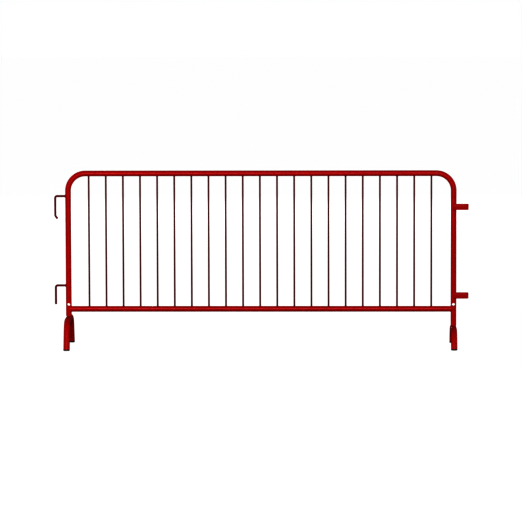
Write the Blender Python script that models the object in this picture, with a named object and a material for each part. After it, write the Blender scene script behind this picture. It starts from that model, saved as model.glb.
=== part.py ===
"""Steel crowd-control barrier with removable bridge feet.

+X runs along the barrier from the hook end to the loop end, +Y points to its back and +Z is up.
The origin is on the floor, under the middle of the whole barrier. All sizes are in metres.
"""

import math

import bmesh
import bpy
from mathutils import Vector

# Welded frame
FRAME_HEIGHT = 1.100
POST_SPACING = 2.400
FRAME_TUBE_RADIUS = 0.01685
FRAME_TUBE_WALL = 0.0016
CORNER_RADIUS = 0.108
TOP_RAIL_Z = FRAME_HEIGHT - FRAME_TUBE_RADIUS
BOTTOM_RAIL_Z = 0.2355

# Uprights
UPRIGHT_COUNT = 21
UPRIGHT_PITCH = 0.1066
UPRIGHT_RADIUS = 0.00475
FIRST_UPRIGHT_FROM_POST = 0.1295

# Hooks on the left post and loops on the right post
HOOK_ROD_RADIUS = 0.006
HOOK_LEG_FROM_POST = 0.080
HOOK_BEND_RADIUS = 0.012
UPPER_HOOK_Z = 0.942
UPPER_HOOK_DROP = 0.123
HOOK_TIP_LENGTH = 0.022
HOOK_TIP_ANGLE = math.radians(38)
HOOK_TIP_BEND_RADIUS = 0.016
LOWER_HOOK_Z = 0.383
LOWER_HOOK_DROP = 0.117
LOOP_STRAP_HEIGHT = 0.034
LOOP_STRAP_THICKNESS = 0.004
LOOP_REACH = 0.092
LOOP_BEND_RADIUS = 0.008
UPPER_LOOP_Z = 0.873
LOWER_LOOP_Z = 0.319

# Bridge feet: the left one is taller and wider, so that it can straddle a neighbour's low one
FOOT_TUBE_RADIUS = 0.019
FOOT_TUBE_WALL = 0.0016
LEFT_FOOT = {"half_spread": 0.225, "crown_z": 0.1735, "bend_radius": 0.095, "splay": math.radians(19)}
RIGHT_FOOT = {"half_spread": 0.199, "crown_z": 0.112, "bend_radius": 0.125, "splay": math.radians(19)}
SPIGOT_RADIUS = 0.0138
SPIGOT_WALL = 0.002
SPIGOT_TOP_Z = 0.305
PIN_HOLE_RADIUS = 0.010
PIN_HOLE_Z = BOTTOM_RAIL_Z + 0.0278
PLUG_FLANGE = 0.008
PLUG_SHANK = 0.018
PLUG_CLEARANCE = 0.0004

# Space between pieces that touch, and the fineness of round shapes
GAP = 0.0004
TUBE_SIDES = 20
ROD_SIDES = 12
BEND_STEPS = 7
CUTTER_LENGTH = 0.08

# The hooks reach less far than the loops, so the posts sit a little left of the middle
HOOK_REACH = HOOK_LEG_FROM_POST + HOOK_ROD_RADIUS
FRAME_SHIFT = (HOOK_REACH - LOOP_REACH) / 2
LEFT_POST_X = FRAME_SHIFT - POST_SPACING / 2
RIGHT_POST_X = FRAME_SHIFT + POST_SPACING / 2

X_AXIS = Vector((1, 0, 0))
Y_AXIS = Vector((0, 1, 0))
Z_AXIS = Vector((0, 0, 1))

PAINT_RED = (0.42, 0.006, 0.009)
ROD_RED = (0.20, 0.006, 0.010)
HOOK_RED = (0.12, 0.005, 0.008)
PLUG_BLACK = (0.02, 0.02, 0.022)


def clear_scene():
    for obj in list(bpy.data.objects):
        bpy.data.objects.remove(obj)


def make_material(name, colour, roughness, metallic):
    material = bpy.data.materials.new(name)
    material.use_nodes = True
    shader = material.node_tree.nodes["Principled BSDF"]
    shader.inputs["Base Color"].default_value = (*colour, 1)
    shader.inputs["Roughness"].default_value = roughness
    shader.inputs["Metallic"].default_value = metallic
    return material


def add_object(name, mesh, location=(0, 0, 0), parent=None):
    obj = bpy.data.objects.new(name, mesh)
    obj.location = location
    obj.parent = parent
    bpy.context.scene.collection.objects.link(obj)
    return obj


def add_empty(name, location):
    return add_object(name, None, location)


def finish_mesh(name, bm, material):
    mesh = bpy.data.meshes.new(name)
    bm.to_mesh(mesh)
    bm.free()
    mesh.materials.append(material)
    mesh.shade_smooth()
    mesh.set_sharp_from_angle(angle=math.radians(35))
    return mesh


def filleted_path(corners, radii):
    """Points and directions along straight runs joined by arcs, one radius for each inner corner."""
    first_direction = (corners[1] - corners[0]).normalized()
    path = [(corners[0], first_direction)]
    for before, corner, after, radius in zip(corners, corners[1:], corners[2:], radii):
        way_in = (corner - before).normalized()
        way_out = (after - corner).normalized()
        turn = way_in.angle(way_out)
        inward = (way_out - way_in * math.cos(turn)) / math.sin(turn)
        arc_start = corner - way_in * radius * math.tan(turn / 2)
        centre = arc_start + inward * radius
        for step in range(BEND_STEPS + 1):
            angle = turn * step / BEND_STEPS
            offset = way_in * math.sin(angle) - inward * math.cos(angle)
            direction = way_in * math.cos(angle) + inward * math.sin(angle)
            path.append((centre + offset * radius, direction))
    path.append((corners[-1], (corners[-1] - corners[-2]).normalized()))
    return path


def round_section(radius, sides):
    angles = [2 * math.pi * side / sides for side in range(sides)]
    return [(radius * math.cos(angle), radius * math.sin(angle)) for angle in angles]


def strap_section(height, thickness):
    h, t = height / 2, thickness / 2
    return [(-h, -t), (h, -t), (h, t), (-h, t)]


def swept_rings(bm, path, plane_normal, section, end_z=None):
    """One ring of vertices at each point of a flat path. With end_z, both ends are cut level there."""
    rings = []
    for index, (point, direction) in enumerate(path):
        side = direction.cross(plane_normal)
        places = [point + plane_normal * u + side * v for u, v in section]
        if end_z is not None and index in (0, len(path) - 1):
            places = [place + direction * (end_z - place.z) / direction.z for place in places]
        rings.append([bm.verts.new(place) for place in places])
    return rings


def skin(bm, rings):
    """Faces between rings. They point away from the rings' axis when the rings follow its direction."""
    for ring, following in zip(rings, rings[1:]):
        for i in range(len(ring)):
            j = (i + 1) % len(ring)
            bm.faces.new((ring[i], ring[j], following[j], following[i]))


def capped_skin(bm, rings):
    skin(bm, rings)
    bm.faces.new(reversed(rings[0]))
    bm.faces.new(rings[-1])


def swept_bar(bm, path, plane_normal, section):
    capped_skin(bm, swept_rings(bm, path, plane_normal, section))


def swept_tube(bm, path, plane_normal, radius, wall, end_z=None):
    outer = swept_rings(bm, path, plane_normal, round_section(radius, TUBE_SIDES), end_z)
    inner = swept_rings(bm, path, plane_normal, round_section(radius - wall, TUBE_SIDES), end_z)
    skin(bm, outer)
    skin(bm, inner[::-1])
    skin(bm, [inner[0], outer[0]])
    skin(bm, [outer[-1], inner[-1]])


def cylinder_cutter(name, radius, location, rotation, parent=None):
    bm = bmesh.new()
    bmesh.ops.create_cone(
        bm, cap_ends=True, segments=TUBE_SIDES, radius1=radius, radius2=radius, depth=CUTTER_LENGTH
    )
    mesh = bpy.data.meshes.new(name)
    bm.to_mesh(mesh)
    bm.free()
    cutter = add_object(name, mesh, location, parent)
    cutter.rotation_euler = rotation
    cutter.hide_render = True
    cutter.display_type = "WIRE"
    return cutter


def cut(obj, cutter):
    modifier = obj.modifiers.new("cut_by_" + cutter.name, "BOOLEAN")
    modifier.operation = "DIFFERENCE"
    modifier.solver = "EXACT"
    modifier.object = cutter


def pin_hole_cutter(side, post_x):
    rotation = (math.radians(90), 0, 0)
    return cylinder_cutter(side + "_pin_hole_cutter", PIN_HOLE_RADIUS, (post_x, 0, PIN_HOLE_Z), rotation)


def post_bottom(foot):
    return foot["crown_z"] + FOOT_TUBE_RADIUS + GAP


def make_perimeter_tube(pin_holes):
    """The left post, the top rail and the right post, bent from one tube."""
    corners = [
        Vector((LEFT_POST_X, 0, post_bottom(LEFT_FOOT))),
        Vector((LEFT_POST_X, 0, TOP_RAIL_Z)),
        Vector((RIGHT_POST_X, 0, TOP_RAIL_Z)),
        Vector((RIGHT_POST_X, 0, post_bottom(RIGHT_FOOT))),
    ]
    path = filleted_path(corners, (CORNER_RADIUS, CORNER_RADIUS))
    bm = bmesh.new()
    swept_tube(bm, path, Y_AXIS, FRAME_TUBE_RADIUS, FRAME_TUBE_WALL)
    paint = make_material("perimeter_tube_paint", PAINT_RED, 0.28, 0.0)
    tube = add_object("perimeter_tube", finish_mesh("perimeter_tube", bm, paint))
    for cutter in pin_holes:
        cut(tube, cutter)


def make_bottom_rail():
    """A straight tube whose ends are hollowed to sit against the round posts."""
    ends = [Vector((LEFT_POST_X, 0, BOTTOM_RAIL_Z)), Vector((RIGHT_POST_X, 0, BOTTOM_RAIL_Z))]
    bm = bmesh.new()
    swept_tube(bm, filleted_path(ends, ()), Y_AXIS, FRAME_TUBE_RADIUS, FRAME_TUBE_WALL)
    paint = make_material("bottom_rail_paint", PAINT_RED, 0.28, 0.0)
    rail = add_object("bottom_rail", finish_mesh("bottom_rail", bm, paint))
    for side, end in zip(("left", "right"), ends):
        cut(rail, cylinder_cutter(side + "_rail_end_cutter", FRAME_TUBE_RADIUS + GAP, end, (0, 0, 0)))


def make_uprights():
    """The vertical rods, all alike, from the top of the bottom rail to the underside of the top rail."""
    low = BOTTOM_RAIL_Z + FRAME_TUBE_RADIUS + GAP
    high = TOP_RAIL_Z - FRAME_TUBE_RADIUS - GAP
    bm = bmesh.new()
    ends = [Vector((0, 0, 0)), Vector((0, 0, high - low))]
    swept_bar(bm, filleted_path(ends, ()), Y_AXIS, round_section(UPRIGHT_RADIUS, ROD_SIDES))
    mesh = finish_mesh("upright", bm, make_material("upright_paint", ROD_RED, 0.35, 0.0))
    for index in range(UPRIGHT_COUNT):
        x = LEFT_POST_X + FIRST_UPRIGHT_FROM_POST + index * UPRIGHT_PITCH
        add_object(f"upright_{index + 1:02d}", mesh, (x, 0, low))


def make_hook(name, bar_z, leg_drop, tip_angle):
    """A rod that leaves the post level and turns down. A tip angle bends its end back to the post."""
    leg = Vector((-HOOK_LEG_FROM_POST, 0, 0))
    leg_end = leg - Z_AXIS * leg_drop
    corners = [Vector((-FRAME_TUBE_RADIUS - GAP, 0, 0)), leg, leg_end]
    radii = [HOOK_BEND_RADIUS]
    if tip_angle:
        tip_way = X_AXIS * math.sin(tip_angle) - Z_AXIS * math.cos(tip_angle)
        corners.append(leg_end + tip_way * HOOK_TIP_LENGTH)
        radii.append(HOOK_TIP_BEND_RADIUS)
    bm = bmesh.new()
    swept_bar(bm, filleted_path(corners, radii), Y_AXIS, round_section(HOOK_ROD_RADIUS, ROD_SIDES))
    mesh = finish_mesh(name, bm, make_material(name + "_paint", HOOK_RED, 0.35, 0.0))
    add_object(name, mesh, (LEFT_POST_X, 0, bar_z))


def make_loop(name, centre_z):
    """A flat strap bent to a U in plan, with both legs lapped on the post as far as its middle."""
    leg_y = FRAME_TUBE_RADIUS + GAP + LOOP_STRAP_THICKNESS / 2
    end_x = LOOP_REACH - LOOP_STRAP_THICKNESS / 2
    corners = [
        Vector((0, -leg_y, 0)),
        Vector((end_x, -leg_y, 0)),
        Vector((end_x, leg_y, 0)),
        Vector((0, leg_y, 0)),
    ]
    path = filleted_path(corners, (LOOP_BEND_RADIUS, LOOP_BEND_RADIUS))
    bm = bmesh.new()
    swept_bar(bm, path, Z_AXIS, strap_section(LOOP_STRAP_HEIGHT, LOOP_STRAP_THICKNESS))
    mesh = finish_mesh(name, bm, make_material(name + "_paint", PAINT_RED, 0.3, 0.0))
    add_object(name, mesh, (RIGHT_POST_X, 0, centre_z))


def foot_path(foot):
    """The arch seen from the side: splayed legs and a level crown, from the front to the back."""
    floor = foot["half_spread"] - PLUG_FLANGE * math.tan(foot["splay"])
    crown = foot["half_spread"] - foot["crown_z"] * math.tan(foot["splay"])
    corners = [
        Vector((0, -floor, PLUG_FLANGE + GAP)),
        Vector((0, -crown, foot["crown_z"])),
        Vector((0, crown, foot["crown_z"])),
        Vector((0, floor, PLUG_FLANGE + GAP)),
    ]
    return filleted_path(corners, (foot["bend_radius"], foot["bend_radius"]))


def make_foot_tube(side, foot, swivel):
    name = side + "_foot_tube"
    bm = bmesh.new()
    swept_tube(bm, foot_path(foot), X_AXIS, FOOT_TUBE_RADIUS, FOOT_TUBE_WALL, PLUG_FLANGE + GAP)
    paint = make_material(name + "_paint", PAINT_RED, 0.28, 0.0)
    add_object(name, finish_mesh(name, bm, paint), parent=swivel)


def make_spigot(side, foot, swivel, pin_hole):
    """The tube that stands on the crown of a foot and turns inside the post."""
    name = side + "_foot_spigot"
    ends = [Vector((0, 0, foot["crown_z"])), Vector((0, 0, SPIGOT_TOP_Z))]
    bm = bmesh.new()
    swept_tube(bm, filleted_path(ends, ()), Y_AXIS, SPIGOT_RADIUS, SPIGOT_WALL)
    paint = make_material(name + "_paint", PAINT_RED, 0.35, 0.0)
    spigot = add_object(name, finish_mesh(name, bm, paint), parent=swivel)
    crown = Vector((0, 0, foot["crown_z"]))
    rotation = (math.radians(90), 0, 0)
    radius = FOOT_TUBE_RADIUS + GAP
    cut(spigot, cylinder_cutter(side + "_crown_cutter", radius, crown, rotation, swivel))
    cut(spigot, pin_hole)


def level_ellipse(bm, radius, centre_y, z, splay):
    """The ring where a level plane cuts a leg of this radius."""
    stretch = 1 / math.cos(splay)
    section = round_section(radius, TUBE_SIDES)
    return [bm.verts.new((u, centre_y + v * stretch, z)) for u, v in section]


def make_plug(side, end, foot, swivel):
    """A plastic end plug: a flange under the tube's end and a shank up inside it."""
    name = f"{side}_foot_{end}_plug"
    outward = {"front": -1, "rear": 1}[end]
    shank_radius = FOOT_TUBE_RADIUS - FOOT_TUBE_WALL - PLUG_CLEARANCE
    levels = (
        (FOOT_TUBE_RADIUS, 0),
        (FOOT_TUBE_RADIUS, PLUG_FLANGE),
        (shank_radius, PLUG_FLANGE),
        (shank_radius, PLUG_FLANGE + PLUG_SHANK),
    )
    bm = bmesh.new()
    rings = []
    for radius, z in levels:
        centre_y = outward * (foot["half_spread"] - z * math.tan(foot["splay"]))
        rings.append(level_ellipse(bm, radius, centre_y, z, foot["splay"]))
    capped_skin(bm, rings)
    mesh = finish_mesh(name, bm, make_material(name + "_plastic", PLUG_BLACK, 0.6, 0.0))
    add_object(name, mesh, parent=swivel)


def make_foot(side, foot, post_x, pin_hole):
    """A bridge foot, all of it on an empty that stands on the swivel axis."""
    swivel = add_empty(side + "_foot_swivel", (post_x, 0, 0))
    make_foot_tube(side, foot, swivel)
    make_spigot(side, foot, swivel, pin_hole)
    for end in ("front", "rear"):
        make_plug(side, end, foot, swivel)


def main():
    clear_scene()
    left_pin_hole = pin_hole_cutter("left", LEFT_POST_X)
    right_pin_hole = pin_hole_cutter("right", RIGHT_POST_X)
    make_perimeter_tube((left_pin_hole, right_pin_hole))
    make_bottom_rail()
    make_uprights()
    make_hook("upper_hook", UPPER_HOOK_Z, UPPER_HOOK_DROP, HOOK_TIP_ANGLE)
    make_hook("lower_hook", LOWER_HOOK_Z, LOWER_HOOK_DROP, 0)
    make_loop("upper_loop", UPPER_LOOP_Z)
    make_loop("lower_loop", LOWER_LOOP_Z)
    make_foot("left", LEFT_FOOT, LEFT_POST_X, left_pin_hole)
    make_foot("right", RIGHT_FOOT, RIGHT_POST_X, right_pin_hole)


main()
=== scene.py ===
import math

import bpy
import numpy as np
from mathutils import Matrix, Vector


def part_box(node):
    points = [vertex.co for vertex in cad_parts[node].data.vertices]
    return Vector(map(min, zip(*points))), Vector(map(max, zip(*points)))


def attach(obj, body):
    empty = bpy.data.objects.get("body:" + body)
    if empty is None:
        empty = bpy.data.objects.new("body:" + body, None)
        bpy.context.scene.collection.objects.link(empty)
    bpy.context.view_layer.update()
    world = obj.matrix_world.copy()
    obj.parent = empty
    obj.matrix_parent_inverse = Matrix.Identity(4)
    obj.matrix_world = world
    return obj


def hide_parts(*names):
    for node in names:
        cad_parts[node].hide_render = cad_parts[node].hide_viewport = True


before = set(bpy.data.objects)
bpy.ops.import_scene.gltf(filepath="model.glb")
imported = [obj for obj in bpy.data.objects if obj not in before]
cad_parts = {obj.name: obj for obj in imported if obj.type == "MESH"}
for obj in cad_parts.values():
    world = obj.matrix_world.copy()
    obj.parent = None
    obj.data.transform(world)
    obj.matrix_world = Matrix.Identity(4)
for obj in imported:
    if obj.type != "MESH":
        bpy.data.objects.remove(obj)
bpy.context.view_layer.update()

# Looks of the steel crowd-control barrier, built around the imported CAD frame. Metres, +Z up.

X = np.array((1.0, 0.0, 0.0))
Y = np.array((0.0, 1.0, 0.0))
Z = np.array((0.0, 0.0, 1.0))

# Fineness of the round shapes
TUBE_SIDES = 64
ROD_SIDES = 28
BEAD_SIDES = 10
BEND_STEP = math.radians(3)
LONGEST_RUN = 0.05
EDGE_STEPS = 5
SADDLE_POINTS = 48
RAIL_SADDLE_POINTS = 96

# Edges sharper than this many degrees stay sharp in the shading
SHARP_ANGLE = 40
WELD_SHARP_ANGLE = 70
PLUG_SHARP_ANGLE = 35

# Sizes that the boxes of the CAD nodes don't give
TUBE_WALL = 0.0016
CORNER_RADIUS = 0.108
HOOK_BEND_RADIUS = 0.012
HOOK_TIP_LENGTH = 0.022
HOOK_TIP_ANGLE = math.radians(38)
HOOK_TIP_BEND_RADIUS = 0.016
LOOP_THICKNESS = 0.004
LOOP_BEND_RADIUS = 0.008
FOOT_SPLAY = math.radians(19)
FOOT_BEND_RADIUS = {"left": 0.095, "right": 0.125}
SPIGOT_WALL = 0.002
PIN_HOLE_RADIUS = 0.010
PIN_HOLE_ABOVE_RAIL = 0.0278
CAD_GAP = 0.0004

# Small shapes that only the looks have
TUBE_EDGE = 0.0005
SPIGOT_EDGE = 0.0006
SPIGOT_ROOT_CLEARANCE = 0.002
STRAP_END_EDGE = 0.0006
STRAP_LONG_EDGE = 0.0017
HOOK_END_EDGE = 0.0016
PIN_HOLE_EDGE = 0.0005
LOOP_WELD_REACH = 0.007
LOOP_WELD_BEND = 0.002
LOOP_WELD_LIFT = 0.0006
UPRIGHT_REACH_INTO_WELD = 0.0008
HOOK_REACH_INTO_POST = 0.001
PLUG_LOOSENESS = 0.0003
PLUG_RIBS = 4
PLUG_RIB_DEPTH = 0.0012
TREAD_GROOVE = 0.0008
# Radii on the plug's tread, and whether the tread is sunk there
TREAD_RINGS = (
    (0.0015, True),
    (0.0046, True),
    (0.0052, False),
    (0.0086, False),
    (0.0092, True),
    (0.0118, True),
    (0.0124, False),
)

# Radii of the weld beads
UPRIGHT_BEAD = 0.0021
RAIL_BEAD = 0.0026
HOOK_BEAD = 0.0034
LOOP_BEAD = 0.0022
SPIGOT_BEAD = 0.0009


def frame_sizes():
    """Places and radii read from the boxes of the CAD nodes."""
    tube_low, tube_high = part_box("perimeter_tube")
    radius = (tube_high.y - tube_low.y) / 2
    rail_low, rail_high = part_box("bottom_rail")
    return {
        "radius": radius,
        "left_x": tube_low.x + radius,
        "right_x": tube_high.x - radius,
        "top_z": tube_high.z - radius,
        "rail_z": (rail_low.z + rail_high.z) / 2,
    }


SIZES = frame_sizes()
POST_X = {"left": SIZES["left_x"], "right": SIZES["right_x"]}
FRAME_RADIUS = SIZES["radius"]


def unit(vectors):
    vectors = np.asarray(vectors, float)
    return vectors / np.linalg.norm(vectors, axis=-1, keepdims=True)


# ---------------------------------------------------------------- shapes


class Shape:
    """Vertices and faces that become one piece."""

    def __init__(self):
        self.points = []
        self.faces = []

    def rings(self, rings):
        """Adds rings of points, and returns their indices ring by ring."""
        rings = np.asarray(rings, float)
        first = len(self.points)
        self.points.extend(map(tuple, rings.reshape(-1, 3)))
        return first + np.arange(rings.shape[0] * rings.shape[1]).reshape(rings.shape[:2])

    def skin(self, rows, closed=False, windows=()):
        """Faces between closed rows of indices. They face out when the rows run along the rings' axis."""
        rows = [list(row) for row in rows]
        pairs = list(zip(rows, rows[1:]))
        if closed:
            pairs.append((rows[-1], rows[0]))
        for number, (row, following) in enumerate(pairs):
            for i in range(len(row)):
                if (number, i) in windows:
                    continue
                j = (i + 1) % len(row)
                self.faces.append((row[i], row[j], following[j], following[i]))

    def strip(self, row, following, outward):
        """Faces between two closed rows, turned so that the first one looks outward."""
        corner, along, across = (np.array(self.points[i]) for i in (row[0], row[1], following[0]))
        flip = np.dot(np.cross(along - corner, across - corner), outward(corner)) < 0
        for i in range(len(row)):
            j = (i + 1) % len(row)
            face = (row[i], row[j], following[j], following[i])
            self.faces.append(face[::-1] if flip else face)

    def cap(self, row, start=False):
        row = list(row)
        self.faces.append(tuple(reversed(row)) if start else tuple(row))

    def bar(self, rings):
        rows = self.rings(rings)
        self.skin(rows)
        self.cap(rows[0], start=True)
        self.cap(rows[-1])

    def tube(self, outer, inner):
        outer_rows = self.rings(outer)
        inner_rows = self.rings(inner)
        self.skin(outer_rows)
        self.skin(inner_rows[::-1])
        self.skin([inner_rows[0], outer_rows[0]])
        self.skin([outer_rows[-1], inner_rows[-1]])

    def loop(self, rings):
        self.skin(self.rings(rings), closed=True)

    def piece(self, name, material, sharp_angle=SHARP_ANGLE):
        used = sorted({index for face in self.faces for index in face})
        order = {old: new for new, old in enumerate(used)}
        faces = [tuple(order[index] for index in face) for face in self.faces]
        mesh = bpy.data.meshes.new(name)
        mesh.from_pydata([self.points[index] for index in used], [], faces)
        mesh.materials.append(material)
        mesh.shade_smooth()
        mesh.set_sharp_from_angle(angle=math.radians(sharp_angle))
        obj = bpy.data.objects.new(name, mesh)
        bpy.context.scene.collection.objects.link(obj)
        return obj


class Path:
    """Points and directions along a flat route, with the normal of its plane."""

    def __init__(self, points, ways, normal):
        self.points = np.asarray(points, float)
        self.ways = unit(ways)
        self.normal = np.asarray(normal, float)

    def rings(self, section, sizes=None):
        """One ring at each point, scaled by its size. A section is points (u, v), u along the normal."""
        section = np.asarray(section, float)
        across = np.cross(self.ways, self.normal)
        scale = np.ones(len(self.points)) if sizes is None else np.asarray(sizes)
        u = section[None, :, 0, None] * scale[:, None, None] * self.normal
        v = section[None, :, 1, None] * scale[:, None, None] * across[:, None, :]
        return self.points[:, None, :] + u + v


def straight(start, end):
    count = max(1, math.ceil(np.linalg.norm(end - start) / LONGEST_RUN))
    return [start + (end - start) * i / count for i in range(count)]


def filleted_path(corners, radii, normal):
    """Straight runs joined by arcs, one radius for each inner corner."""
    corners = [np.asarray(corner, float) for corner in corners]
    points, ways = [], []
    run_start = corners[0]
    for before, corner, after, radius in zip(corners, corners[1:], corners[2:], radii):
        way_in, way_out = unit(corner - before), unit(after - corner)
        turn = math.acos(float(np.dot(way_in, way_out)))
        inward = (way_out - way_in * math.cos(turn)) / math.sin(turn)
        arc_start = corner - way_in * radius * math.tan(turn / 2)
        run = straight(run_start, arc_start)
        points.extend(run)
        ways.extend([way_in] * len(run))
        steps = math.ceil(turn / BEND_STEP)
        for angle in (turn * step / steps for step in range(steps + 1)):
            points.append(
                arc_start + inward * radius * (1 - math.cos(angle)) + way_in * radius * math.sin(angle)
            )
            ways.append(way_in * math.cos(angle) + inward * math.sin(angle))
        run_start = points.pop()
        ways.pop()
    last_way = unit(corners[-1] - corners[-2])
    run = straight(run_start, corners[-1]) + [corners[-1]]
    points.extend(run)
    ways.extend([last_way] * len(run))
    return Path(points, ways, normal)


def round_section(radius, sides):
    angles = 2 * np.pi * np.arange(sides) / sides
    return radius * np.stack((np.cos(angles), np.sin(angles)), axis=1)


def strap_section(height, thickness, edge_radius, steps=4):
    """A flat bar's section with rounded edges, u along its height and v through its thickness."""
    points = []
    for quarter, (u_sign, v_sign) in enumerate(((1, 1), (-1, 1), (-1, -1), (1, -1))):
        u_middle = u_sign * (height / 2 - edge_radius)
        v_middle = v_sign * (thickness / 2 - edge_radius)
        for angle in np.linspace(quarter * np.pi / 2, (quarter + 1) * np.pi / 2, steps):
            u = u_middle + edge_radius * np.cos(angle)
            v = v_middle + edge_radius * np.sin(angle)
            points.append((u, v))
    return np.array(points)


def softened_ends(path, radius, depth, start=True):
    """The path with extra points at its end (and its start), and each ring's size, for rounded edges."""
    points, ways, sizes = list(path.points), list(path.ways), [1.0] * len(path.points)
    turns = np.linspace(0, np.pi / 2, EDGE_STEPS)
    tip, way = points.pop(), ways.pop()
    sizes.pop()
    for turn in turns:
        points.append(tip - way * depth * (1 - math.sin(turn)))
        ways.append(way)
        sizes.append(1 - depth * (1 - math.cos(turn)) / radius)
    if start:
        tip, way = points.pop(0), ways.pop(0)
        sizes.pop(0)
        for turn in turns:
            points.insert(0, tip + way * depth * (1 - math.sin(turn)))
            ways.insert(0, way)
            sizes.insert(0, 1 - depth * (1 - math.cos(turn)) / radius)
    return Path(points, ways, path.normal), sizes


def level_ends(rings, path, z):
    """Slides the first and last rings along the path's ends to a level plane."""
    for index in (0, -1):
        way = path.ways[index]
        rings[index] += np.outer((z - rings[index][:, 2]) / way[2], way)
    return rings


# ---------------------------------------------------------------- welds

WELD_PITCH = 0.0024
BEAD_SAMPLES_PER_RIPPLE = 5
BEAD_SINK = 0.35
SWELLING_ORDERS = (1, 2, 3, 5, 7)


def lumps(lengths, whole, seed):
    """Slow uneven swelling along a bead, which meets itself after a whole turn."""
    random = np.random.RandomState(seed)
    total = np.zeros_like(lengths)
    for order in SWELLING_ORDERS:
        wave = np.sin(2 * np.pi * (order * lengths / whole + random.rand()))
        total += wave * random.uniform(0.3, 1) / order
    return total


def resampled(points, outs, closed):
    """The curve again with points close enough to hold the ripples, and the length at each."""
    if closed:
        points = np.vstack((points, points[:1]))
        outs = np.vstack((outs, outs[:1]))
    steps = np.linalg.norm(np.diff(points, axis=0), axis=1)
    along = np.concatenate(([0], np.cumsum(steps)))
    ripples = max(2, round(along[-1] / WELD_PITCH))
    count = ripples * BEAD_SAMPLES_PER_RIPPLE
    lengths = np.linspace(0, along[-1], count, endpoint=not closed)
    new_points = np.stack([np.interp(lengths, along, points[:, k]) for k in range(3)], axis=1)
    new_outs = np.stack([np.interp(lengths, along, outs[:, k]) for k in range(3)], axis=1)
    return new_points, unit(new_outs), lengths, along[-1], ripples


def add_bead(shape, points, outs, size, seed, closed=True):
    """A rippled weld bead along a corner between two surfaces. Outs point out of the corner."""
    points, outs, lengths, whole, ripples = resampled(np.asarray(points), np.asarray(outs), closed)
    if closed:
        ways = unit(np.roll(points, -1, axis=0) - np.roll(points, 1, axis=0))
    else:
        ways = unit(np.gradient(points, axis=0))
    outs = unit(outs - ways * np.sum(outs * ways, axis=1, keepdims=True))
    across = np.cross(ways, outs)
    phase = lengths / whole * ripples
    crest = 1 - (phase % 1.0 - 0.35) ** 2 * 0.5
    sizes = size * (0.93 + 0.08 * lumps(lengths, whole, seed)) * crest
    if not closed:
        fade = np.minimum(lengths, whole - lengths) / size
        sizes *= np.sqrt(np.clip(fade + 0.25, 0.05, 1))
    section = round_section(1.0, BEAD_SIDES)
    centres = points + outs * (size * BEAD_SINK * 0.5)
    rings = (
        centres[:, None, :]
        + outs[:, None, :] * section[None, :, 0, None] * sizes[:, None, None]
        + across[:, None, :] * section[None, :, 1, None] * sizes[:, None, None]
    )
    if closed:
        shape.loop(rings)
    else:
        shape.bar(rings)


def saddle(bar_radius, tube_radius, origin, bar_way, tube_way, count=SADDLE_POINTS):
    """Where a round bar leaves the side of a round tube: points, and directions out of the corner."""
    angles = 2 * np.pi * np.arange(count) / count
    u, v = bar_radius * np.cos(angles), bar_radius * np.sin(angles)
    height = np.sqrt(np.maximum(tube_radius**2 - v**2, 0))
    third = np.cross(bar_way, tube_way)
    points = origin + np.outer(u, tube_way) + np.outer(v, third) + np.outer(height, bar_way)
    bar_normals = np.outer(np.cos(angles), tube_way) + np.outer(np.sin(angles), third)
    tube_normals = (np.outer(v, third) + np.outer(height, bar_way)) / tube_radius
    return points, unit(bar_normals + tube_normals)


# ---------------------------------------------------------------- materials


class Nodes:
    """A short way to write a material's node tree."""

    def __init__(self, name):
        self.material = bpy.data.materials.new(name)
        self.material.use_nodes = True
        self.tree = self.material.node_tree
        self.shader = self.tree.nodes["Principled BSDF"]
        self.place = self.add("ShaderNodeTexCoord").outputs["Object"]

    def add(self, kind, **settings):
        node = self.tree.nodes.new(kind)
        for key, value in settings.items():
            setattr(node, key, value)
        return node

    def put(self, value, socket):
        if isinstance(value, bpy.types.NodeSocket):
            self.tree.links.new(value, socket)
        elif isinstance(value, tuple) and len(value) == 3 and socket.type == "RGBA":
            socket.default_value = (*value, 1)
        else:
            socket.default_value = value

    def noise(self, scale, detail=2.0, roughness=0.5, stretch=None):
        node = self.add("ShaderNodeTexNoise")
        node.inputs["Scale"].default_value = scale
        node.inputs["Detail"].default_value = detail
        node.inputs["Roughness"].default_value = roughness
        source = self.place
        if stretch:
            mapping = self.add("ShaderNodeMapping")
            mapping.inputs["Scale"].default_value = stretch
            self.put(self.place, mapping.inputs["Vector"])
            source = mapping.outputs["Vector"]
        self.put(source, node.inputs["Vector"])
        return node.outputs["Fac"]

    def remap(self, value, low, high, to_low=0.0, to_high=1.0, smooth=False):
        node = self.add("ShaderNodeMapRange")
        if smooth:
            node.interpolation_type = "SMOOTHSTEP"
        limits = {"From Min": low, "From Max": high, "To Min": to_low, "To Max": to_high}
        for key, number in limits.items():
            node.inputs[key].default_value = number
        self.put(value, node.inputs["Value"])
        return node.outputs["Result"]

    def maths(self, operation, first, second=0.0):
        node = self.add("ShaderNodeMath", operation=operation)
        self.put(first, node.inputs[0])
        self.put(second, node.inputs[1])
        return node.outputs["Value"]

    def mix(self, factor, first, second):
        node = self.add("ShaderNodeMix", data_type="RGBA")
        self.put(factor, node.inputs["Factor"])
        self.put(first, node.inputs[6])
        self.put(second, node.inputs[7])
        return node.outputs[2]

    def attribute(self, name):
        return self.add("ShaderNodeAttribute", attribute_name=name).outputs["Fac"]

    def bump(self, height, distance, strength=1.0, normal=None):
        node = self.add("ShaderNodeBump")
        node.inputs["Distance"].default_value = distance
        node.inputs["Strength"].default_value = strength
        self.put(height, node.inputs["Height"])
        if normal is not None:
            self.put(normal, node.inputs["Normal"])
        return node.outputs["Normal"]

    def finish(self, colour, roughness, normal):
        self.put(colour, self.shader.inputs["Base Color"])
        self.put(roughness, self.shader.inputs["Roughness"])
        self.put(normal, self.shader.inputs["Normal"])
        return self.material


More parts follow.
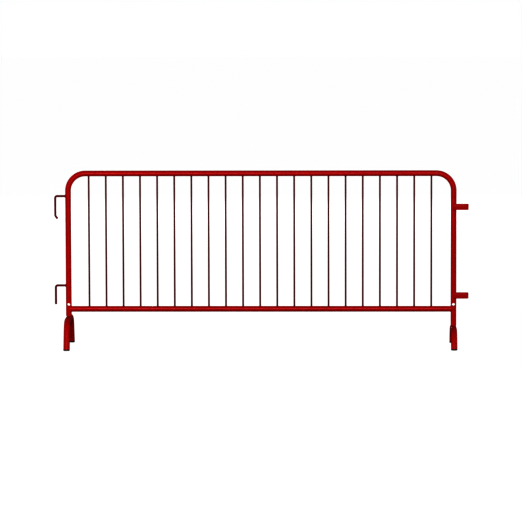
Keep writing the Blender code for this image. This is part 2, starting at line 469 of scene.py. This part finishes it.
def shade(colour, factor):
    return tuple(channel * factor for channel in colour)


STEEL_GREY = (0.16, 0.155, 0.15)
PRIMER_DARK = (0.045, 0.012, 0.010)
DUST = (0.30, 0.24, 0.20)
SHEEN_TINT = (1, 0.45, 0.45)
PLASTIC_DARK = (0.012, 0.012, 0.013)
PLASTIC_LIGHT = (0.024, 0.024, 0.026)
PLASTIC_SCUFF = (0.075, 0.072, 0.068)
PLASTIC_WORN = (0.13, 0.12, 0.11)


def powder_coat(name, colour, gloss_roughness=0.32, specular=0.26):
    """Red powder coat: slight shade changes, orange peel, scuffs, dust low down and rubbed spots."""
    nodes = Nodes(name)
    broad = nodes.noise(2.3, 3.0)
    blotches = nodes.noise(26.0, 4.0, 0.6)
    grain = nodes.noise(900.0, 2.0, 0.7)
    paint = nodes.mix(nodes.remap(broad, 0.3, 0.7), shade(colour, 0.93), shade(colour, 1.05))
    paint = nodes.mix(nodes.remap(blotches, 0.35, 0.75, 0.0, 0.22), paint, shade(colour, 0.82))
    paint = nodes.mix(nodes.remap(grain, 0.45, 0.8, 0.0, 0.10), paint, shade(colour, 1.35))
    scuffs = nodes.noise(260.0, 4.0, 0.65, (1.0, 1.0, 0.12))
    scuff_marks = nodes.remap(scuffs, 0.64, 0.74, 0.0, 0.4)
    scuffed = nodes.maths("MULTIPLY", scuff_marks, nodes.remap(blotches, 0.45, 0.6))
    paint = nodes.mix(scuffed, paint, shade(colour, 0.6))
    wear = nodes.attribute("wear")
    breakup = nodes.noise(190.0, 5.0, 0.62)
    rubbed = nodes.maths("ADD", nodes.maths("MULTIPLY", wear, 0.62), breakup)
    rubbed = nodes.maths("SUBTRACT", rubbed, 0.98)
    primer = nodes.remap(rubbed, 0.0, 0.06, smooth=True)
    bare = nodes.remap(rubbed, 0.07, 0.13, smooth=True)
    dulled = nodes.remap(nodes.maths("ADD", wear, blotches), 0.8, 1.4, 0.0, 0.35)
    paint = nodes.mix(dulled, paint, shade(colour, 0.72))
    paint = nodes.mix(primer, paint, PRIMER_DARK)
    paint = nodes.mix(bare, paint, STEEL_GREY)
    dust = nodes.maths("MULTIPLY", nodes.attribute("dust"), nodes.remap(blotches, 0.4, 0.7))
    paint = nodes.mix(nodes.maths("MULTIPLY", dust, 0.2), paint, DUST)
    roughness = nodes.remap(blotches, 0.3, 0.7, gloss_roughness - 0.04, gloss_roughness + 0.05)
    roughness = nodes.maths("ADD", roughness, nodes.maths("MULTIPLY", dulled, 0.5))
    roughness = nodes.maths("ADD", roughness, nodes.maths("MULTIPLY", scuffed, 0.4))
    roughness = nodes.maths("ADD", roughness, nodes.maths("MULTIPLY", dust, 0.3))
    peel = nodes.bump(nodes.noise(300.0, 2.0, 0.45), 0.00011, 1.0)
    fine = nodes.bump(grain, 0.00002, 0.6, peel)
    normal = nodes.bump(primer, -0.0001, 0.8, fine)
    nodes.shader.inputs["Specular IOR Level"].default_value = specular
    nodes.shader.inputs["Specular Tint"].default_value = (*SHEEN_TINT, 1)
    return nodes.finish(paint, roughness, normal)


def moulded_plastic(name):
    """Black moulded plastic with a fine matt grain, grey scuffs and worn spots."""
    nodes = Nodes(name)
    grain = nodes.noise(700.0, 3.0, 0.6)
    scuffs = nodes.noise(120.0, 5.0, 0.7, (1.0, 1.0, 4.0))
    base = nodes.mix(nodes.remap(grain, 0.3, 0.7), PLASTIC_DARK, PLASTIC_LIGHT)
    base = nodes.mix(nodes.remap(scuffs, 0.55, 0.75, 0.0, 0.5), base, PLASTIC_SCUFF)
    worn = nodes.maths("MULTIPLY", nodes.attribute("wear"), nodes.remap(scuffs, 0.35, 0.6))
    base = nodes.mix(nodes.maths("MULTIPLY", worn, 0.6), base, PLASTIC_WORN)
    roughness = nodes.remap(grain, 0.3, 0.7, 0.5, 0.66)
    normal = nodes.bump(scuffs, 0.00012, 0.5, nodes.bump(grain, 0.00005, 0.8))
    return nodes.finish(base, roughness, normal)


TUBE_RED = (0.43, 0.0045, 0.0060)
ROD_RED = (0.105, 0.0045, 0.0070)
HOOK_RED = (0.150, 0.0040, 0.0090)
WELD_RED = (0.30, 0.0040, 0.0055)
LOOP_RED = (0.40, 0.0045, 0.0060)

FRAME_PAINT = powder_coat("frame_powder_coat", TUBE_RED)
ROD_PAINT = powder_coat("upright_powder_coat", ROD_RED, 0.34)
HOOK_PAINT = powder_coat("hook_powder_coat", HOOK_RED, 0.36)
WELD_PAINT = powder_coat("weld_powder_coat", WELD_RED, 0.38)
LOOP_PAINT = powder_coat("loop_powder_coat", LOOP_RED, 0.34, specular=0.1)
PLUG_PLASTIC = moulded_plastic("plug_plastic")


# ---------------------------------------------------------------- wear

# How far the wear reaches and how strong it is
HOOK_BEND_WEAR = (0.05, 0.75)
HOOK_TIP_WEAR = (0.03, 0.8)
LOOP_WEAR = (0.03, 0.8)
FOOT_END_WEAR = (0.045, 0.85)
FOOT_CROWN_WEAR = (0.03, 0.7)
PIN_HOLE_WEAR = (FRAME_RADIUS + 0.004, 0.55)

DUST_TOP = 0.09

# Places where the paint rubs: centre, reach and strength
WEAR_PLACES = []


def wear_at(centre, reach, strength):
    WEAR_PLACES.append((np.asarray(centre, float), reach, strength))


def add_wear(obj):
    """Writes how rubbed and how dusty each point of a piece is."""
    mesh = obj.data
    places = np.array([vertex.co for vertex in mesh.vertices])
    wear = np.zeros(len(places))
    for centre, reach, strength in WEAR_PLACES:
        distance = np.linalg.norm(places - centre, axis=1)
        wear = np.maximum(wear, strength * np.clip(1 - distance / reach, 0, 1))
    dust = np.clip(1 - places[:, 2] / DUST_TOP, 0, 1) ** 1.5
    for name, values in (("wear", wear), ("dust", dust)):
        mesh.attributes.new(name, "FLOAT", "POINT").data.foreach_set("value", values.astype(np.float32))


def settle(obj, body, slot, *nodes):
    """Puts a finished piece on its body, in place of CAD nodes. The slot argument is not used."""
    add_wear(obj)
    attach(obj, body)
    if nodes:
        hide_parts(*nodes)


# ---------------------------------------------------------------- pieces


HOLE_BAND_REACH = 0.0155
HOLE_BAND_STEPS = 10
HOLE_BAND_CLEARANCE = 0.002
POST_HOLE_COLUMNS = 9
SPIGOT_HOLE_COLUMNS = 13
HOLE_PATCH_SHARES = (0.7, 0.42, 0.2, 0.07)
SAME_PLACE = 1e-6


def hole_levels(hole_z):
    return np.linspace(hole_z - HOLE_BAND_REACH, hole_z + HOLE_BAND_REACH, HOLE_BAND_STEPS + 1)


def with_hole_band(path, hole):
    """The path with evenly spaced points past a cross hole, on the straight run through its centre."""
    levels = hole_levels(hole[2])
    beside = np.abs(path.points[:, 0] - hole[0]) < SAME_PLACE
    keep = ~(beside & (np.abs(path.points[:, 2] - hole[2]) < HOLE_BAND_REACH + HOLE_BAND_CLEARANCE))
    points, ways = path.points[keep], path.ways[keep]
    for index, (start, end) in enumerate(zip(points, points[1:])):
        on_run = abs(start[0] - hole[0]) < SAME_PLACE and abs(end[0] - hole[0]) < SAME_PLACE
        if on_run and (start[2] - hole[2]) * (end[2] - hole[2]) < 0:
            ordered = levels if end[2] > start[2] else levels[::-1]
            band = np.array([(hole[0], 0, z) for z in ordered])
            points = np.insert(points, index + 1, band, axis=0)
            band_ways = np.repeat(ways[index : index + 1], len(band), axis=0)
            ways = np.insert(ways, index + 1, band_ways, axis=0)
            return Path(points, ways, path.normal)
    raise ValueError("the path doesn't pass the hole")


def hole_windows(path, holes, reach):
    """The first row of each band, and the faces that the patches round the holes take the place of."""
    firsts, windows = [], set()
    for hole in holes:
        beside = np.abs(path.points[:, 0] - hole[0]) < SAME_PLACE
        band = np.where(beside & (np.abs(path.points[:, 2] - hole[2]) < HOLE_BAND_REACH + SAME_PLACE))[0]
        firsts.append(band[0])
        for row in range(band[0], band[0] + HOLE_BAND_STEPS):
            for centre in (0, TUBE_SIDES // 2):
                windows.update((row, (centre + k) % TUBE_SIDES) for k in range(-reach, reach))
    return firsts, windows


def hole_patch(shape, rows, centre, reach, radius, hole, facing):
    """Faces from a window in a wall to a cross hole's rim. Facing is 1 on an outer wall, -1 on an inner."""
    columns = [(centre + k) % TUBE_SIDES for k in range(-reach, reach + 1)]
    border = [rows[0][c] for c in columns[:-1]] + [row[columns[-1]] for row in rows[:-1]]
    border += [rows[-1][c] for c in columns[:0:-1]] + [row[columns[0]] for row in rows[:0:-1]]
    places = np.array([shape.points[index] for index in border])
    side = math.copysign(1, places[:, 1].mean())
    arcs = radius * np.arcsin((places[:, 0] - hole[0]) / radius)
    heights = places[:, 2] - hole[2]
    angles = np.arctan2(heights, arcs)
    edge = PIN_HOLE_EDGE if facing > 0 else PIN_HOLE_EDGE / 2
    stages = [(PIN_HOLE_RADIUS + edge, share, 0) for share in HOLE_PATCH_SHARES]
    for turn in np.linspace(0, np.pi / 2, EDGE_STEPS):
        rim = PIN_HOLE_RADIUS + edge * (1 - math.sin(turn))
        stages.append((rim, 0, edge * (1 - math.cos(turn))))
    previous = border
    for rim, share, sink in stages:
        rim_arcs = radius * np.arcsin(rim * np.cos(angles) / radius)
        arc = rim_arcs + (arcs - rim_arcs) * share
        ring = np.empty((len(border), 3))
        ring[:, 0] = hole[0] + radius * np.sin(arc / radius)
        ring[:, 1] = side * (radius * np.cos(arc / radius) - sink * facing)
        ring[:, 2] = hole[2] + rim * np.sin(angles) * (1 - share) + heights * share
        following = list(shape.rings([ring])[0])
        shape.strip(previous, following, lambda corner: facing * side * Y)
        previous = following
    return previous


def pierced_tube(shape, path, radii, rings, holes, reach):
    """A tube with cross holes along Y, which its path passes in bands of evenly spaced rings."""
    firsts, windows = hole_windows(path, holes, reach)
    outer_rows, inner_rows = (shape.rings(ring) for ring in rings)
    shape.skin(outer_rows, windows=windows)
    inner_faces = Shape()
    inner_faces.skin(inner_rows, windows=windows)
    shape.faces.extend(face[::-1] for face in inner_faces.faces)
    shape.skin([inner_rows[0], outer_rows[0]])
    shape.skin([outer_rows[-1], inner_rows[-1]])
    for first, hole in zip(firsts, holes):
        for centre in (0, TUBE_SIDES // 2):
            rims = []
            for rows, radius, facing in ((outer_rows, radii[0], 1), (inner_rows, radii[1], -1)):
                band = [list(row) for row in rows[first : first + HOLE_BAND_STEPS + 1]]
                rims.append(hole_patch(shape, band, centre, reach, radius, hole, facing))
            shape.strip(rims[0], rims[1], lambda corner: (hole - corner) * (X + Z))


def post_bottom(side):
    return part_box(side + "_foot_tube")[1].z + CAD_GAP


def pin_hole(side):
    return np.array((POST_X[side], 0, SIZES["rail_z"] + PIN_HOLE_ABOVE_RAIL))


def perimeter_tube():
    """Both posts and the top rail: one bent tube with a cross hole through each post."""
    corners = [
        (POST_X["left"], 0, post_bottom("left")),
        (POST_X["left"], 0, SIZES["top_z"]),
        (POST_X["right"], 0, SIZES["top_z"]),
        (POST_X["right"], 0, post_bottom("right")),
    ]
    path = filleted_path(corners, (CORNER_RADIUS, CORNER_RADIUS), Y)
    holes = [pin_hole("left"), pin_hole("right")]
    for hole in holes:
        path = with_hole_band(path, hole)
    path, sizes = softened_ends(path, FRAME_RADIUS, TUBE_EDGE)
    inner_radius = FRAME_RADIUS - TUBE_WALL
    outer = path.rings(round_section(FRAME_RADIUS, TUBE_SIDES), sizes)
    inner = path.rings(round_section(inner_radius, TUBE_SIDES))
    shape = Shape()
    radii = (FRAME_RADIUS, inner_radius)
    pierced_tube(shape, path, radii, (outer, inner), holes, POST_HOLE_COLUMNS)
    obj = shape.piece("perimeter_tube_painted", FRAME_PAINT)
    settle(obj, "frame", "frame_paint", "perimeter_tube")


def bottom_rail():
    """A straight tube with both ends hollowed round the posts."""
    start = np.array((POST_X["left"], 0, SIZES["rail_z"]))
    end = np.array((POST_X["right"], 0, SIZES["rail_z"]))
    path = filleted_path((start, end), (), Y)
    walls = []
    for radius in (FRAME_RADIUS, FRAME_RADIUS - TUBE_WALL):
        rings = path.rings(round_section(radius, TUBE_SIDES))
        inset = np.sqrt(np.maximum(FRAME_RADIUS**2 - rings[0][:, 1] ** 2, 0))
        rings[0][:, 0] = POST_X["left"] + inset
        rings[-1][:, 0] = POST_X["right"] - inset
        walls.append(rings)
    shape = Shape()
    shape.tube(*walls)
    settle(shape.piece("bottom_rail_painted", FRAME_PAINT), "frame", "frame_paint", "bottom_rail")


def upright_nodes():
    return sorted(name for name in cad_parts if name.startswith("upright_"))


def uprights():
    """Round rods, whose ends reach a little into their welds."""
    for name in upright_nodes():
        low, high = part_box(name)
        x, radius = (low.x + high.x) / 2, (high.y - low.y) / 2
        bottom, top = low.z - UPRIGHT_REACH_INTO_WELD, high.z + UPRIGHT_REACH_INTO_WELD
        path = filleted_path(((x, 0, bottom), (x, 0, top)), (), Y)
        shape = Shape()
        shape.bar(path.rings(round_section(radius, ROD_SIDES)))
        settle(shape.piece(name + "_rod", ROD_PAINT), "frame", "upright_paint", name)


def upright_welds():
    """A bead round both ends of every upright."""
    for level, z, way, first_seed in (("lower", SIZES["rail_z"], Z, 100), ("upper", SIZES["top_z"], -Z, 150)):
        shape = Shape()
        for index, name in enumerate(upright_nodes()):
            low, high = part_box(name)
            x, radius = (low.x + high.x) / 2, (high.y - low.y) / 2
            points, outs = saddle(radius, FRAME_RADIUS, np.array((x, 0, z)), way, X)
            add_bead(shape, points, outs, UPRIGHT_BEAD, seed=first_seed + index)
        settle(shape.piece(f"{level}_upright_welds", WELD_PAINT, WELD_SHARP_ANGLE), "frame", "upright_paint")


def rail_welds():
    """A bead round both ends of the bottom rail."""
    shape = Shape()
    for side, way, seed in (("left", X, 7), ("right", -X, 8)):
        origin = np.array((POST_X[side], 0, SIZES["rail_z"]))
        points, outs = saddle(FRAME_RADIUS * 0.995, FRAME_RADIUS, origin, way, Z, RAIL_SADDLE_POINTS)
        add_bead(shape, points, outs, RAIL_BEAD, seed)
    settle(shape.piece("rail_welds", FRAME_PAINT, WELD_SHARP_ANGLE), "frame", "frame_paint")


def hook(name, has_tip):
    """A rod bent down from the left post, with or without a slanted tip, and its weld."""
    low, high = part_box(name)
    radius = (high.y - low.y) / 2
    bar_z = high.z - radius
    leg_x = low.x + radius
    leg_bottom = low.z
    if has_tip:
        leg_bottom += HOOK_TIP_LENGTH * math.cos(HOOK_TIP_ANGLE) + radius * math.sin(HOOK_TIP_ANGLE)
    bar_start = POST_X["left"] - FRAME_RADIUS + HOOK_REACH_INTO_POST
    corners = [(bar_start, 0, bar_z), (leg_x, 0, bar_z), (leg_x, 0, leg_bottom)]
    radii = [HOOK_BEND_RADIUS]
    if has_tip:
        tip_way = X * math.sin(HOOK_TIP_ANGLE) - Z * math.cos(HOOK_TIP_ANGLE)
        corners.append(np.array(corners[-1]) + tip_way * HOOK_TIP_LENGTH)
        radii.append(HOOK_TIP_BEND_RADIUS)
    path = filleted_path(corners, radii, Y)
    path, sizes = softened_ends(path, radius, HOOK_END_EDGE, start=False)
    rings = path.rings(round_section(radius, ROD_SIDES), sizes)
    shape = Shape()
    shape.bar(rings)
    settle(shape.piece(name + "_rod", HOOK_PAINT), "frame", "hook_paint", name)
    weld = Shape()
    points, outs = saddle(radius, FRAME_RADIUS, np.array((POST_X["left"], 0, bar_z)), -X, Z)
    add_bead(weld, points, outs, HOOK_BEAD, seed=len(name) + round(bar_z * 100))
    settle(weld.piece(name + "_weld", WELD_PAINT, WELD_SHARP_ANGLE), "frame", "hook_paint")


def loop(name):
    """A strap bent to a U, open towards the right post."""
    low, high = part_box(name)
    centre_z, height = (low.z + high.z) / 2, high.z - low.z
    leg_y = high.y - LOOP_THICKNESS / 2
    end_x = high.x - LOOP_THICKNESS / 2
    corners = [(low.x, -leg_y), (end_x, -leg_y), (end_x, leg_y), (low.x, leg_y)]
    corners = [(x, y, centre_z) for x, y in corners]
    path = filleted_path(corners, (LOOP_BEND_RADIUS, LOOP_BEND_RADIUS), Z)
    # The strap's ends stay square, and only have closer rings
    path, _ = softened_ends(path, height / 2, STRAP_END_EDGE)
    shape = Shape()
    shape.bar(path.rings(strap_section(height, LOOP_THICKNESS, STRAP_LONG_EDGE)))
    settle(shape.piece(name + "_strap", LOOP_PAINT), "frame", "frame_paint", name)
    loop_welds(name, low.x, centre_z, height)


def loop_welds(name, x, centre_z, height):
    """A C-shaped bead round the end of each strap leg, on the front and the back of the post."""
    shape = Shape()
    top, bottom, end_x = centre_z + height / 2, centre_z - height / 2, x + LOOP_WELD_REACH
    first_seed = round(centre_z * 100)
    for side, seed in ((-1, first_seed), (1, first_seed + 1)):
        corners = [(end_x, 0, top), (x, 0, top), (x, 0, bottom), (end_x, 0, bottom)]
        path = filleted_path(corners, (LOOP_WELD_BEND, LOOP_WELD_BEND), Y)
        lift = np.sqrt(FRAME_RADIUS**2 - (path.points[:, 0] - x) ** 2)
        points = path.points.copy()
        points[:, 1] = side * (lift + LOOP_WELD_LIFT)
        outs = unit(Y * side - np.cross(Y, path.ways))
        add_bead(shape, points, outs, LOOP_BEAD, seed, closed=False)
    settle(shape.piece(name + "_welds", WELD_PAINT, WELD_SHARP_ANGLE), "frame", "frame_paint")


def foot_sizes(side):
    """A foot's place and sizes, read from the boxes of its tube and plug."""
    low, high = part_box(side + "_foot_tube")
    radius = (high.x - low.x) / 2
    plug_low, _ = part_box(side + "_foot_front_plug")
    return {
        "x": (low.x + high.x) / 2,
        "radius": radius,
        "crown_z": high.z - radius,
        "half_spread": -plug_low.y - radius / math.cos(FOOT_SPLAY),
        "end_z": low.z,
    }


def foot_tube(side):
    """A tube bent to an arch, with both ends cut level."""
    foot = foot_sizes(side)
    slope = math.tan(FOOT_SPLAY)
    low = foot["half_spread"] - foot["end_z"] * slope
    crown = foot["half_spread"] - foot["crown_z"] * slope
    corners = [
        (foot["x"], -low, foot["end_z"]),
        (foot["x"], -crown, foot["crown_z"]),
        (foot["x"], crown, foot["crown_z"]),
        (foot["x"], low, foot["end_z"]),
    ]
    bend = FOOT_BEND_RADIUS[side]
    path = filleted_path(corners, (bend, bend), X)
    walls = []
    for radius in (foot["radius"], foot["radius"] - TUBE_WALL):
        walls.append(level_ends(path.rings(round_section(radius, TUBE_SIDES)), path, foot["end_z"]))
    shape = Shape()
    shape.tube(*walls)
    piece = shape.piece(side + "_foot_arch", FRAME_PAINT)
    settle(piece, side + "_foot", "frame_paint", side + "_foot_tube")


def foot_spigot(side):
    """The tube on the crown that turns inside the post, with its weld."""
    foot = foot_sizes(side)
    low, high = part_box(side + "_foot_spigot")
    radius = (high.x - low.x) / 2
    radii = (radius, radius - SPIGOT_WALL)
    path = filleted_path(((foot["x"], 0, foot["crown_z"]), (foot["x"], 0, high.z)), (), Y)
    path = with_hole_band(path, pin_hole(side))
    path, sizes = softened_ends(path, radius, SPIGOT_EDGE, start=False)
    keep = path.points[:, 2] > foot["crown_z"] + foot["radius"] + SPIGOT_ROOT_CLEARANCE
    keep[0] = True
    walls = []
    for wall_radius, wall_sizes in zip(radii, (sizes, None)):
        rings = path.rings(round_section(wall_radius, TUBE_SIDES), wall_sizes)
        across = rings[0][:, 0] - foot["x"]
        rings[0][:, 2] = foot["crown_z"] + np.sqrt(foot["radius"] ** 2 - across**2)
        walls.append(rings[keep])
    path = Path(path.points[keep], path.ways[keep], path.normal)
    shape = Shape()
    pierced_tube(shape, path, radii, walls, [pin_hole(side)], SPIGOT_HOLE_COLUMNS)
    obj = shape.piece(side + "_foot_spigot_tube", FRAME_PAINT)
    settle(obj, side + "_foot", "frame_paint", side + "_foot_spigot")
    weld = Shape()
    origin = np.array((foot["x"], 0, foot["crown_z"]))
    points, outs = saddle(radius, foot["radius"], origin, Z, Y)
    add_bead(weld, points, outs, SPIGOT_BEAD, seed=3 + len(side))
    settle(weld.piece(side + "_spigot_weld", WELD_PAINT, WELD_SHARP_ANGLE), side + "_foot", "frame_paint")


def plug_profile(outer, flange, top):
    """Radii and heights from the middle of the tread, round the flange and up the ribbed shank."""
    shank = outer - TUBE_WALL - PLUG_LOOSENESS
    profile = [(radius, TREAD_GROOVE if sunk else 0) for radius, sunk in TREAD_RINGS]
    profile += [(outer - 0.0016, 0), (outer - 0.0008, 0.0002), (outer - 0.0002, 0.0008)]
    profile += [(outer, 0.0016), (outer, flange - 0.0008), (outer - 0.0003, flange - 0.0002)]
    profile += [(outer - 0.0008, flange), (shank, flange)]
    for rib in range(PLUG_RIBS):
        z = flange + 0.0015 + rib * (top - flange - 0.003) / PLUG_RIBS
        profile += [(shank - PLUG_RIB_DEPTH, z), (shank, z + 0.0010), (shank - PLUG_RIB_DEPTH, z + 0.0020)]
    profile.append((shank - 0.002, top))
    return profile


def foot_plug(side, end):
    """A moulded plug: a ringed tread, a rounded flange and a ribbed shank."""
    name = f"{side}_foot_{end}_plug"
    foot = foot_sizes(side)
    outward = {"front": -1, "rear": 1}[end]
    flange = foot["end_z"] - CAD_GAP
    section = round_section(1.0, TUBE_SIDES)
    rings = []
    for radius, z in plug_profile(foot["radius"], flange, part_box(name)[1].z):
        centre_y = outward * (foot["half_spread"] - z * math.tan(FOOT_SPLAY))
        ring = np.empty((TUBE_SIDES, 3))
        ring[:, 0] = foot["x"] + radius * section[:, 0]
        ring[:, 1] = centre_y + radius * section[:, 1] / math.cos(FOOT_SPLAY)
        ring[:, 2] = z
        rings.append(ring)
    shape = Shape()
    shape.bar(rings)
    settle(shape.piece(name + "_moulded", PLUG_PLASTIC, PLUG_SHARP_ANGLE), side + "_foot", "plug_plastic", name)


# ---------------------------------------------------------------- studio

CAMERA_PLACE = (0.552, -23.926, 2.887)
CAMERA_PITCH = math.radians(5.612)
CAMERA_TURN = math.radians(1.326)
CAMERA_ROLL = math.radians(-0.157)
CAMERA_LENS = 266.15
SENSOR_WIDTH = 36
FARTHEST_VIEW = 300

FLOOR_RADIUS = 40.0
FLOOR_SIDES = 96
FLOOR_GLOW = 0.99
FLOOR_ALBEDO = 0.035
SHELL_RADIUS = 70.0
SHELL_DROP = 0.5
SHELL_SIDES = 64
SHELL_RINGS = 24
WORLD_STRENGTH = 0.12
VIEW_GAMMA = 0.5

PANEL_MIDDLE = (0, 0, 0.6)
# Name, place, target, size, power and whether it shows in reflections
LIGHTS = (
    ("key", (0.1, -11, 3.0), PANEL_MIDDLE, (5, 2.5), 1340, True),
    ("rail_gloss", (-1.25, -3, 1.4), (-1.0, 0, 0.7), (0.4, 0.4), 18, True),
    ("back_key", (-0.1, 11, 3.0), PANEL_MIDDLE, (5, 2.5), 1340, False),
    ("left_side", (-9, 0, 2.5), PANEL_MIDDLE, (3, 3), 320, False),
    ("right_side", (9, 0, 2.5), PANEL_MIDDLE, (3, 3), 320, False),
)


def camera():
    data = bpy.data.cameras.new("camera")
    data.lens = CAMERA_LENS
    data.sensor_width = SENSOR_WIDTH
    data.clip_end = FARTHEST_VIEW
    obj = bpy.data.objects.new("camera", data)
    obj.location = CAMERA_PLACE
    turned = Matrix.Rotation(CAMERA_TURN, 4, "Z") @ Matrix.Rotation(math.pi / 2 - CAMERA_PITCH, 4, "X")
    obj.rotation_euler = (turned @ Matrix.Rotation(CAMERA_ROLL, 4, "Z")).to_euler()
    bpy.context.scene.collection.objects.link(obj)
    bpy.context.scene.camera = obj


def soft_light(name, place, target, size, power, glossy):
    data = bpy.data.lights.new(name, "AREA")
    data.shape = "RECTANGLE"
    data.size, data.size_y = size
    data.energy = power
    obj = bpy.data.objects.new(name, data)
    obj.visible_camera = False
    obj.visible_glossy = glossy
    obj.location = place
    obj.rotation_euler = (Vector(target) - Vector(place)).to_track_quat("-Z", "Y").to_euler()
    bpy.context.scene.collection.objects.link(obj)


def glow_material(name, glow, albedo):
    material = bpy.data.materials.new(name)
    material.use_nodes = True
    shader = material.node_tree.nodes["Principled BSDF"]
    shader.inputs["Base Color"].default_value = (albedo, albedo, albedo, 1)
    shader.inputs["Roughness"].default_value = 0.9
    shader.inputs["Specular IOR Level"].default_value = 0.0
    shader.inputs["Emission Color"].default_value = (1, 1, 1, 1)
    shader.inputs["Emission Strength"].default_value = glow
    return material


def level_ring(radius, z, sides):
    ring = np.full((sides, 3), float(z))
    ring[:, :2] = round_section(radius, sides)
    return ring


def stage_floor(material):
    shape = Shape()
    shape.cap(shape.rings([level_ring(FLOOR_RADIUS, 0, FLOOR_SIDES)])[0])
    return shape.piece("floor", material)


def stage_shell(material):
    shape = Shape()
    rings = []
    for turn in np.linspace(0, math.radians(88), SHELL_RINGS):
        z = SHELL_RADIUS * math.sin(turn) - SHELL_DROP
        rings.append(level_ring(SHELL_RADIUS * math.cos(turn), z, SHELL_SIDES))
    shape.bar(rings)
    return shape.piece("shell", material)


def studio():
    """A pale floor inside a white shell, which light the view and not the object, and soft lights."""
    floor = stage_floor(glow_material("floor_white", FLOOR_GLOW, FLOOR_ALBEDO))
    shell = stage_shell(glow_material("shell_white", 1.0, 0.0))
    for obj in (floor, shell):
        obj.visible_diffuse = False
        obj.visible_glossy = False
    shell.visible_shadow = False
    world = bpy.data.worlds.new("studio")
    world.use_nodes = True
    world.node_tree.nodes["Background"].inputs["Color"].default_value = (1, 1, 1, 1)
    world.node_tree.nodes["Background"].inputs["Strength"].default_value = WORLD_STRENGTH
    bpy.context.scene.world = world
    for light in LIGHTS:
        soft_light(*light)
    view = bpy.context.scene.view_settings
    view.view_transform = "Standard"
    view.look = "None"
    view.gamma = VIEW_GAMMA


def wear_places():
    """Where hooks and loops rub, where the feet scrape and turn, and round the pin holes."""
    for node in ("upper_hook", "lower_hook"):
        low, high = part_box(node)
        wear_at((low.x + 0.02, 0, high.z - 0.012), *HOOK_BEND_WEAR)
        wear_at((low.x + 0.006, 0, low.z), *HOOK_TIP_WEAR)
    for node in ("upper_loop", "lower_loop"):
        low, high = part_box(node)
        for y in (low.y, high.y):
            wear_at((high.x - 0.01, y, high.z), *LOOP_WEAR)
    for side in ("left", "right"):
        foot = foot_sizes(side)
        for end in (-1, 1):
            scrape_y = end * (foot["half_spread"] + foot["radius"])
            wear_at((foot["x"], scrape_y, 0.0), *FOOT_END_WEAR)
        wear_at((foot["x"], 0, foot["crown_z"] + foot["radius"]), *FOOT_CROWN_WEAR)
        wear_at(pin_hole(side), *PIN_HOLE_WEAR)


def main():
    camera()
    wear_places()
    perimeter_tube()
    bottom_rail()
    rail_welds()
    uprights()
    upright_welds()
    hook("upper_hook", has_tip=True)
    hook("lower_hook", has_tip=False)
    loop("upper_loop")
    loop("lower_loop")
    for side in ("left", "right"):
        foot_tube(side)
        foot_spigot(side)
        foot_plug(side, "front")
        foot_plug(side, "rear")
    studio()


main()
